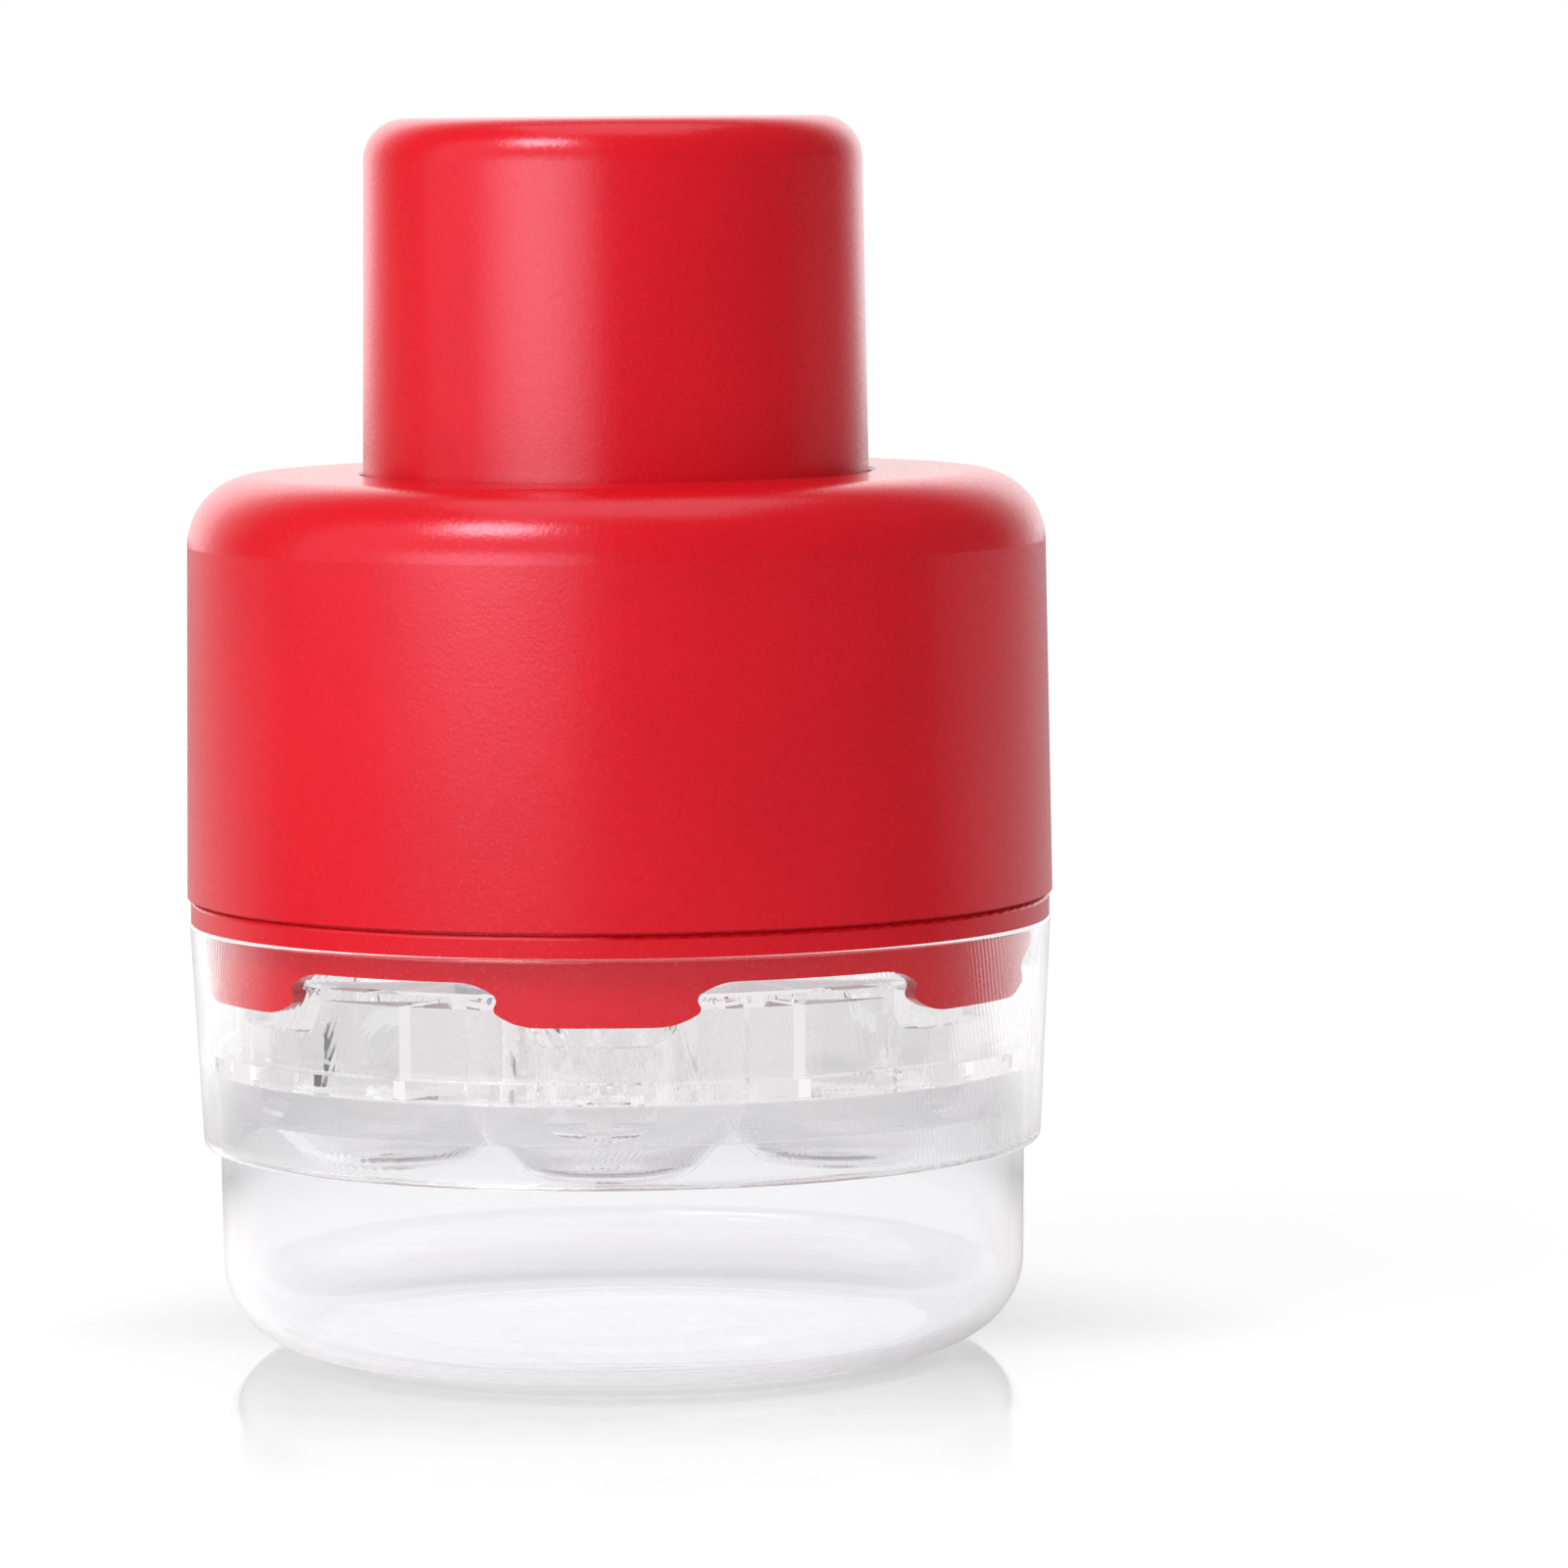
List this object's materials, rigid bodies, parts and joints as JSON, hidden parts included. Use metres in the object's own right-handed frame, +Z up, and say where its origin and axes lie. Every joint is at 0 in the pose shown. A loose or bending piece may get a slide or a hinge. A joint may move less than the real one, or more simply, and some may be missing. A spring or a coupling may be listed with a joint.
{
  "type": "multi cherry pitter",
  "caption": "Push-down cherry pitter: clear stone cup, clear pocket tray and a red head whose sprung plunger drives steel prongs through the fruit.",
  "frame": {"origin": "centre of the pit cup's base, on the table", "axes": "+Z up along the plunger, -Y to the front, where a pocket and a lobe of the guide plate face the viewer"},
  "size_m": [0.11, 0.11, 0.1558],
  "materials": {
    "clear_plastic": "polished clear moulded plastic",
    "red_plastic": "satin moulded plastic with a fine grain",
    "white_plastic": "natural moulded acetal",
    "stainless_steel": "drawn stainless rod",
    "spring_steel": "bright spring wire",
    "screw_steel": "zinc plated"
  },
  "bodies": {
    "cup": {"pit_cup": "clear_plastic"},
    "tray": {"cherry_tray": "clear_plastic"},
    "head": {"guide_plate": "red_plastic", "housing": "red_plastic", "housing_screws": "screw_steel", "guide_post_1": "stainless_steel", "guide_post_2": "stainless_steel", "guide_post_3": "stainless_steel", "post_screws": "screw_steel", "return_spring_1": "spring_steel", "return_spring_2": "spring_steel", "return_spring_3": "spring_steel"},
    "plunger": {"plunger_cap": "red_plastic", "prong_carrier": "white_plastic", "cap_screws": "screw_steel", "prong_1": "stainless_steel", "prong_2": "stainless_steel", "prong_3": "stainless_steel", "prong_4": "stainless_steel", "prong_5": "stainless_steel", "prong_6": "stainless_steel", "prong_7": "stainless_steel", "post_bush_1": "white_plastic", "post_bush_2": "white_plastic", "post_bush_3": "white_plastic"}
  },
  "joints": [
    {"name": "tray_lift", "type": "slide", "parent": "cup", "child": "tray", "axis": [0, 0, 1], "range_m": [0, 0.04]},
    {"name": "head_lift", "type": "slide", "parent": "tray", "child": "head", "axis": [0, 0, 1], "range_m": [0, 0.04]},
    {"name": "plunger_press", "type": "slide", "parent": "head", "child": "plunger", "axis": [0, 0, -1], "range_m": [0, 0.036], "stiffness_N_per_m": 900, "springref_m": -0.008, "deforming": ["return_spring_1", "return_spring_2", "return_spring_3"]}
  ]
}
